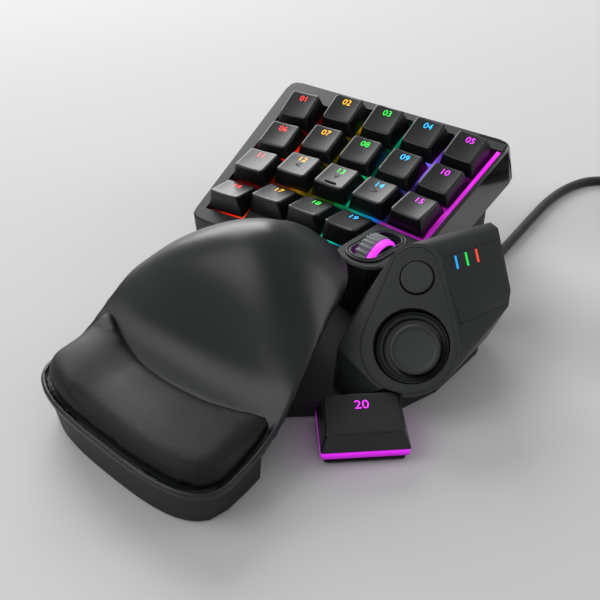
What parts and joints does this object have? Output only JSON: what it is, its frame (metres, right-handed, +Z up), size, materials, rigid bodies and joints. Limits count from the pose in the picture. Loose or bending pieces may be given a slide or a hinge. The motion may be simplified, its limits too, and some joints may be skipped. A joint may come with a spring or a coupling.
{
  "type": "gaming keypad",
  "caption": "Left-hand keypad with staggered finger keys on a sloped deck, scroll wheel, thumb stick, thumb key and a sliding arched palm rest with a soft pad",
  "frame": {"origin": "on the desk, under the middle of the keypad's outline with its cable left out", "axes": "+Y away from the user along the fingers, +X to the user's right towards the thumb, +Z up"},
  "size_m": [0.2106, 0.2946, 0.0594],
  "materials": {
    "matte_black": "fine matte moulded plastic",
    "satin_grey": "soft-touch satin paint over plastic",
    "key_black": "matte key plastic with lit legends",
    "gloss_black": "polished black plastic",
    "lit_magenta": "clear plastic lit from inside",
    "lit_bar": "clear plastic lit from inside",
    "silicone": "translucent silicone",
    "board_green": "lacquered circuit board",
    "rubber": "dull rubber",
    "leatherette": "fine-grained leatherette",
    "braid": "woven nylon braid",
    "steel": "plated steel"
  },
  "bodies": {
    "keypad_body": {"base_shell": "matte_black", "deck_frame": "satin_grey", "side_trim": "gloss_black", "key_guide_plate": "matte_black", "dome_mat": "silicone", "circuit_board": "board_green", "edge_light_strip": "lit_magenta", "wheel_bezel": "satin_grey", "thumb_housing": "satin_grey", "thumb_face": "satin_grey", "side_panel": "satin_grey", "status_light_pipe": "lit_bar", "stick_gate": "matte_black", "key_20_pedestal": "matte_black", "foot_far_left": "rubber", "foot_far_right": "rubber", "foot_near_left": "rubber", "foot_thumb": "rubber", "cable_gland": "matte_black", "cable_lead": "braid", "cable_coil": "braid", "cable_tail": "braid", "usb_plug_body": "matte_black", "usb_plug_shell": "steel"},
    "key_01": {"key_01": "key_black"},
    "key_02": {"key_02": "key_black"},
    "key_03": {"key_03": "key_black"},
    "key_04": {"key_04": "key_black"},
    "key_05": {"key_05": "key_black"},
    "key_06": {"key_06": "key_black"},
    "key_07": {"key_07": "key_black"},
    "key_08": {"key_08": "key_black"},
    "key_09": {"key_09": "key_black"},
    "key_10": {"key_10": "key_black"},
    "key_11": {"key_11": "key_black"},
    "key_12": {"key_12": "key_black"},
    "key_13": {"key_13": "key_black"},
    "key_14": {"key_14": "key_black"},
    "key_15": {"key_15": "key_black"},
    "key_16": {"key_16": "key_black"},
    "key_17": {"key_17": "key_black"},
    "key_18": {"key_18": "key_black"},
    "key_19": {"key_19": "key_black"},
    "key_20": {"key_20": "key_black", "key_20_light_band": "lit_magenta"},
    "wheel_carrier": {"wheel_carrier": "matte_black", "wheel_axle": "steel"},
    "scroll_wheel": {"wheel_hub": "lit_magenta", "wheel_tyre": "rubber"},
    "thumb_button": {"thumb_button": "satin_grey"},
    "stick_gimbal": {"stick_gimbal": "matte_black"},
    "thumb_stick": {"thumb_stick": "key_black"},
    "palm_rest": {"palm_shell": "satin_grey", "wrist_pad": "leatherette", "palm_heel": "matte_black", "palm_foot": "rubber"}
  },
  "joints": [
    {"name": "key_01_press", "type": "slide", "parent": "keypad_body", "child": "key_01", "axis": [0, 0.2351, -0.972], "range_m": [0, 0.0035], "stiffness_N_per_m": 140, "springref_m": -0.001},
    {"name": "key_02_press", "type": "slide", "parent": "keypad_body", "child": "key_02", "axis": [0, 0.2351, -0.972], "range_m": [0, 0.0035], "stiffness_N_per_m": 140, "springref_m": -0.001},
    {"name": "key_03_press", "type": "slide", "parent": "keypad_body", "child": "key_03", "axis": [0, 0.2351, -0.972], "range_m": [0, 0.0035], "stiffness_N_per_m": 140, "springref_m": -0.001},
    {"name": "key_04_press", "type": "slide", "parent": "keypad_body", "child": "key_04", "axis": [0, 0.2351, -0.972], "range_m": [0, 0.0035], "stiffness_N_per_m": 140, "springref_m": -0.001},
    {"name": "key_05_press", "type": "slide", "parent": "keypad_body", "child": "key_05", "axis": [0, 0.2351, -0.972], "range_m": [0, 0.0035], "stiffness_N_per_m": 140, "springref_m": -0.001},
    {"name": "key_06_press", "type": "slide", "parent": "keypad_body", "child": "key_06", "axis": [0, 0.2351, -0.972], "range_m": [0, 0.0035], "stiffness_N_per_m": 140, "springref_m": -0.001},
    {"name": "key_07_press", "type": "slide", "parent": "keypad_body", "child": "key_07", "axis": [0, 0.2351, -0.972], "range_m": [0, 0.0035], "stiffness_N_per_m": 140, "springref_m": -0.001},
    {"name": "key_08_press", "type": "slide", "parent": "keypad_body", "child": "key_08", "axis": [0, 0.2351, -0.972], "range_m": [0, 0.0035], "stiffness_N_per_m": 140, "springref_m": -0.001},
    {"name": "key_09_press", "type": "slide", "parent": "keypad_body", "child": "key_09", "axis": [0, 0.2351, -0.972], "range_m": [0, 0.0035], "stiffness_N_per_m": 140, "springref_m": -0.001},
    {"name": "key_10_press", "type": "slide", "parent": "keypad_body", "child": "key_10", "axis": [0, 0.2351, -0.972], "range_m": [0, 0.0035], "stiffness_N_per_m": 140, "springref_m": -0.001},
    {"name": "key_11_press", "type": "slide", "parent": "keypad_body", "child": "key_11", "axis": [0, 0.2351, -0.972], "range_m": [0, 0.0035], "stiffness_N_per_m": 140, "springref_m": -0.001},
    {"name": "key_12_press", "type": "slide", "parent": "keypad_body", "child": "key_12", "axis": [0, 0.2351, -0.972], "range_m": [0, 0.0035], "stiffness_N_per_m": 140, "springref_m": -0.001},
    {"name": "key_13_press", "type": "slide", "parent": "keypad_body", "child": "key_13", "axis": [0, 0.2351, -0.972], "range_m": [0, 0.0035], "stiffness_N_per_m": 140, "springref_m": -0.001},
    {"name": "key_14_press", "type": "slide", "parent": "keypad_body", "child": "key_14", "axis": [0, 0.2351, -0.972], "range_m": [0, 0.0035], "stiffness_N_per_m": 140, "springref_m": -0.001},
    {"name": "key_15_press", "type": "slide", "parent": "keypad_body", "child": "key_15", "axis": [0, 0.2351, -0.972], "range_m": [0, 0.0035], "stiffness_N_per_m": 140, "springref_m": -0.001},
    {"name": "key_16_press", "type": "slide", "parent": "keypad_body", "child": "key_16", "axis": [0, 0.2351, -0.972], "range_m": [0, 0.0035], "stiffness_N_per_m": 140, "springref_m": -0.001},
    {"name": "key_17_press", "type": "slide", "parent": "keypad_body", "child": "key_17", "axis": [0, 0.2351, -0.972], "range_m": [0, 0.0035], "stiffness_N_per_m": 140, "springref_m": -0.001},
    {"name": "key_18_press", "type": "slide", "parent": "keypad_body", "child": "key_18", "axis": [0, 0.2351, -0.972], "range_m": [0, 0.0035], "stiffness_N_per_m": 140, "springref_m": -0.001},
    {"name": "key_19_press", "type": "slide", "parent": "keypad_body", "child": "key_19", "axis": [0, 0.2351, -0.972], "range_m": [0, 0.0035], "stiffness_N_per_m": 140, "springref_m": -0.001},
    {"name": "key_20_press", "type": "slide", "parent": "keypad_body", "child": "key_20", "axis": [0, 0, -1], "range_m": [0, 0.0019], "stiffness_N_per_m": 280, "springref_m": -0.0008},
    {"name": "wheel_click", "type": "slide", "parent": "keypad_body", "child": "wheel_carrier", "axis": [-0.0283, -0.1572, -0.9872], "range_m": [0, 0.0005], "stiffness_N_per_m": 1200, "springref_m": -0.0002},
    {"name": "wheel_spin", "type": "hinge", "parent": "wheel_carrier", "child": "scroll_wheel", "pos_m": [0.02065, 0.01685, 0.02604], "axis": [0.9973, -0.0712, -0.0172], "continuous": true},
    {"name": "thumb_button_press", "type": "slide", "parent": "keypad_body", "child": "thumb_button", "axis": [-0.1504, 0.6413, -0.7524], "range_m": [0, 0.0012], "stiffness_N_per_m": 500, "springref_m": -0.0004},
    {"name": "stick_tilt_fore_aft", "type": "hinge", "parent": "keypad_body", "child": "stick_gimbal", "pos_m": [0.05625, -0.01064, 0.01807], "axis": [0.9307, 0.3485, 0.111], "range_deg": [-9, 9], "stiffness_Nm_per_rad": 0.03},
    {"name": "stick_tilt_sideways", "type": "hinge", "parent": "stick_gimbal", "child": "thumb_stick", "pos_m": [0.05625, -0.01064, 0.01807], "axis": [-0.3334, 0.6836, 0.6493], "range_deg": [-9, 9], "stiffness_Nm_per_rad": 0.03},
    {"name": "palm_rest_slide", "type": "slide", "parent": "keypad_body", "child": "palm_rest", "axis": [0, -1, 0], "range_m": [0, 0.02]}
  ]
}
